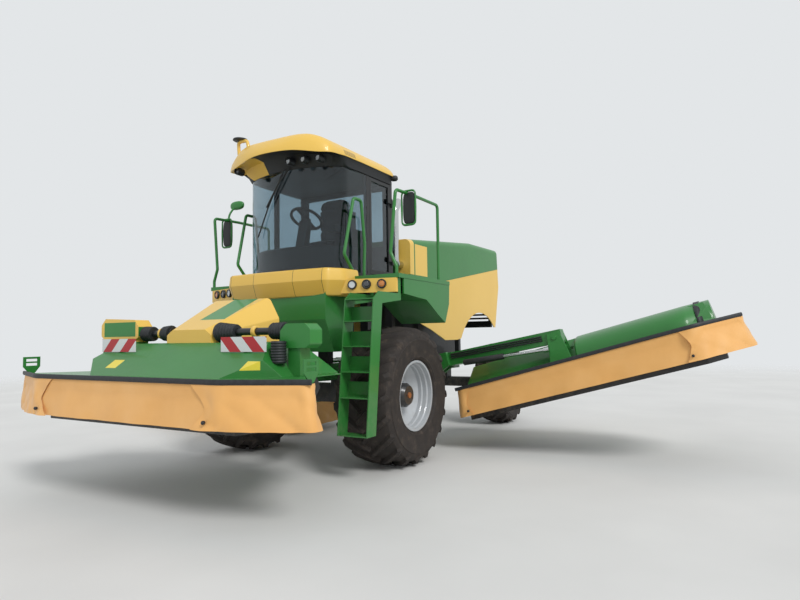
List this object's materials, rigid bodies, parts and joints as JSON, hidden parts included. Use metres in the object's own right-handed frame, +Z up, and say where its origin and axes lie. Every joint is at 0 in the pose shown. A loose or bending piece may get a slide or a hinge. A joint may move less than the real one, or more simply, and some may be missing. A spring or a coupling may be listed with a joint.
{
  "type": "self-propelled mower conditioner",
  "caption": "Self-propelled mower conditioner with a glazed cab, a raised front mower and folding side mowers, all with cloth skirts",
  "frame": {"origin": "On the ground under the middle of the machine's bounding box", "axes": "+X to the driver's left, -Y forward, +Z up; the wheels stand on z = 0"},
  "size_m": [9.6963, 7.41, 4.0169],
  "materials": {
    "green_paint": "gloss",
    "yellow_paint": "gloss",
    "dark_paint": "satin",
    "rim_silver": "satin",
    "bright_steel": "polished",
    "rotor_steel": "satin",
    "tyre": "matt",
    "window": "clear",
    "skirt_cloth": "woven",
    "cushion_fabric": "woven",
    "lamp_lens": "gloss",
    "board_paint": "reflective"
  },
  "bodies": {
    "vehicle": {"chassis_frame": "green_paint", "front_axle": "dark_paint", "rear_axle": "dark_paint", "engine_block": "dark_paint", "hood_top": "green_paint", "hood_side_panels": "yellow_paint", "hood_frame": "dark_paint", "rear_grille": "dark_paint", "exhaust": "bright_steel", "cab_frame": "dark_paint", "door_hinges": "dark_paint", "cab_glass": "window", "cab_roof": "yellow_paint", "cab_fittings": "dark_paint", "seat_cushion": "cushion_fabric", "nose_shell": "green_paint", "nose_band": "yellow_paint", "cab_subframe": "dark_paint", "platforms": "green_paint", "handrails": "green_paint", "mirrors": "green_paint", "ladder": "green_paint", "lamps": "lamp_lens"},
    "wheel_front_left": {"rim_front_left": "rim_silver", "tyre_front_left": "tyre"},
    "wheel_front_right": {"rim_front_right": "rim_silver", "tyre_front_right": "tyre"},
    "steer_left": {"rear_knuckle_left": "dark_paint"},
    "steer_right": {"rear_knuckle_right": "dark_paint"},
    "wheel_rear_left": {"rim_rear_left": "rim_silver", "tyre_rear_left": "tyre"},
    "wheel_rear_right": {"rim_rear_right": "rim_silver", "tyre_rear_right": "tyre"},
    "door": {"door_frame": "dark_paint", "door_glass": "window"},
    "front_lift": {"front_lift_arms": "green_paint"},
    "top_link": {"front_top_link": "green_paint"},
    "front_mower": {"front_mower_frame": "green_paint", "front_mower_hood": "green_paint", "front_mower_skirt": "skirt_cloth", "front_bonnet": "yellow_paint", "front_drive": "green_paint", "hazard_boards": "board_paint"},
    "front_rotor": {"front_rotor": "rotor_steel"},
    "side_mower_left": {"side_boom_left": "green_paint", "side_mower_frame_left": "green_paint", "side_mower_hood_left": "green_paint", "side_mower_skirt_left": "skirt_cloth"},
    "side_rotor_left": {"side_rotor_left": "rotor_steel"},
    "lift_barrel_left": {"lift_barrel_left": "dark_paint"},
    "lift_rod_left": {"lift_rod_left": "bright_steel"},
    "side_mower_right": {"side_boom_right": "green_paint", "side_mower_frame_right": "green_paint", "side_mower_hood_right": "green_paint", "side_mower_skirt_right": "skirt_cloth"},
    "side_rotor_right": {"side_rotor_right": "rotor_steel"},
    "lift_barrel_right": {"lift_barrel_right": "dark_paint"},
    "lift_rod_right": {"lift_rod_right": "bright_steel"}
  },
  "joints": [
    {"name": "front_wheel_left", "type": "hinge", "parent": "vehicle", "child": "wheel_front_left", "pos_m": [1.145, -0.835, 0.807], "axis": [1, 0, 0], "continuous": true},
    {"name": "steer_left", "type": "hinge", "parent": "vehicle", "child": "steer_left", "pos_m": [0.78, 2.815, 0.68], "axis": [0, 0, 1], "range_deg": [-30, 30]},
    {"name": "rear_wheel_left", "type": "hinge", "parent": "steer_left", "child": "wheel_rear_left", "pos_m": [1.12, 2.815, 0.68], "axis": [1, 0, 0], "continuous": true},
    {"name": "front_wheel_right", "type": "hinge", "parent": "vehicle", "child": "wheel_front_right", "pos_m": [-1.145, -0.835, 0.807], "axis": [1, 0, 0], "continuous": true},
    {"name": "steer_right", "type": "hinge", "parent": "vehicle", "child": "steer_right", "pos_m": [-0.78, 2.815, 0.68], "axis": [0, 0, 1], "range_deg": [-30, 30]},
    {"name": "rear_wheel_right", "type": "hinge", "parent": "steer_right", "child": "wheel_rear_right", "pos_m": [-1.12, 2.815, 0.68], "axis": [1, 0, 0], "continuous": true},
    {"name": "cab_door", "type": "hinge", "parent": "vehicle", "child": "door", "pos_m": [0.785, -0.215, 2.9], "axis": [0, 0, 1], "range_deg": [0, 85]},
    {"name": "front_lift", "type": "hinge", "parent": "vehicle", "child": "front_lift", "pos_m": [0, -1.705, 0.72], "axis": [1, 0, 0], "range_deg": [0, 61.1]},
    {"name": "top_link", "type": "hinge", "parent": "vehicle", "child": "top_link", "pos_m": [0, -1.705, 1.04], "axis": [1, 0, 0], "range_deg": [0, 61.1]},
    {"name": "front_mower_level", "type": "hinge", "parent": "front_lift", "child": "front_mower", "pos_m": [0, -2.34983, 0.99239], "axis": [1, 0, 0], "range_deg": [-61.1, 0]},
    {"name": "front_rotor", "type": "hinge", "parent": "front_mower", "child": "front_rotor", "pos_m": [0, -2.795, 1.085], "axis": [1, 0, 0], "continuous": true},
    {"name": "side_boom_left", "type": "hinge", "parent": "vehicle", "child": "side_mower_left", "pos_m": [0.8, 0.565, 1.1], "axis": [0, -1, 0], "range_deg": [-17.5, 69.7]},
    {"name": "side_rotor_left", "type": "hinge", "parent": "side_mower_left", "child": "side_rotor_left", "pos_m": [3.16625, 1.015, 1.16676], "axis": [0.9646, 0, 0.2639], "continuous": true},
    {"name": "lift_barrel_left", "type": "hinge", "parent": "vehicle", "child": "lift_barrel_left", "pos_m": [0.35, 0.565, 0.7], "axis": [0, -1, 0], "range_deg": [-3.26, 11.49]},
    {"name": "lift_rod_left", "type": "slide", "parent": "lift_barrel_left", "child": "lift_rod_left", "axis": [0.9405, 0, 0.3398], "range_m": [-0.0595, 0.2311]},
    {"name": "side_boom_right", "type": "hinge", "parent": "vehicle", "child": "side_mower_right", "pos_m": [-0.8, 0.565, 1.1], "axis": [0, 1, 0], "range_deg": [0, 85]},
    {"name": "side_rotor_right", "type": "hinge", "parent": "side_mower_right", "child": "side_rotor_right", "pos_m": [-3.07979, 1.015, 0.38059], "axis": [-1, 0, 0], "continuous": true},
    {"name": "lift_barrel_right", "type": "hinge", "parent": "vehicle", "child": "lift_barrel_right", "pos_m": [-0.35, 0.565, 0.7], "axis": [0, 1, 0], "range_deg": [-0.5, 8.57]},
    {"name": "lift_rod_right", "type": "slide", "parent": "lift_barrel_right", "child": "lift_rod_right", "axis": [-0.9389, 0, 0.3443], "range_m": [-0.002, 0.3039]}
  ],
  "couplings": [
    {"joint": "steer_right", "follows": "steer_left", "ratio": 1},
    {"joint": "top_link", "follows": "front_lift", "ratio": 1},
    {"joint": "front_mower_level", "follows": "front_lift", "ratio": -1},
    {"joint": "lift_barrel_left", "follows": "side_boom_left", "ratio": 0.1577},
    {"joint": "lift_rod_left", "follows": "side_boom_left", "m_per_rad": 0.1883},
    {"joint": "lift_barrel_right", "follows": "side_boom_right", "ratio": 0.0949},
    {"joint": "lift_rod_right", "follows": "side_boom_right", "m_per_rad": 0.2035}
  ]
}
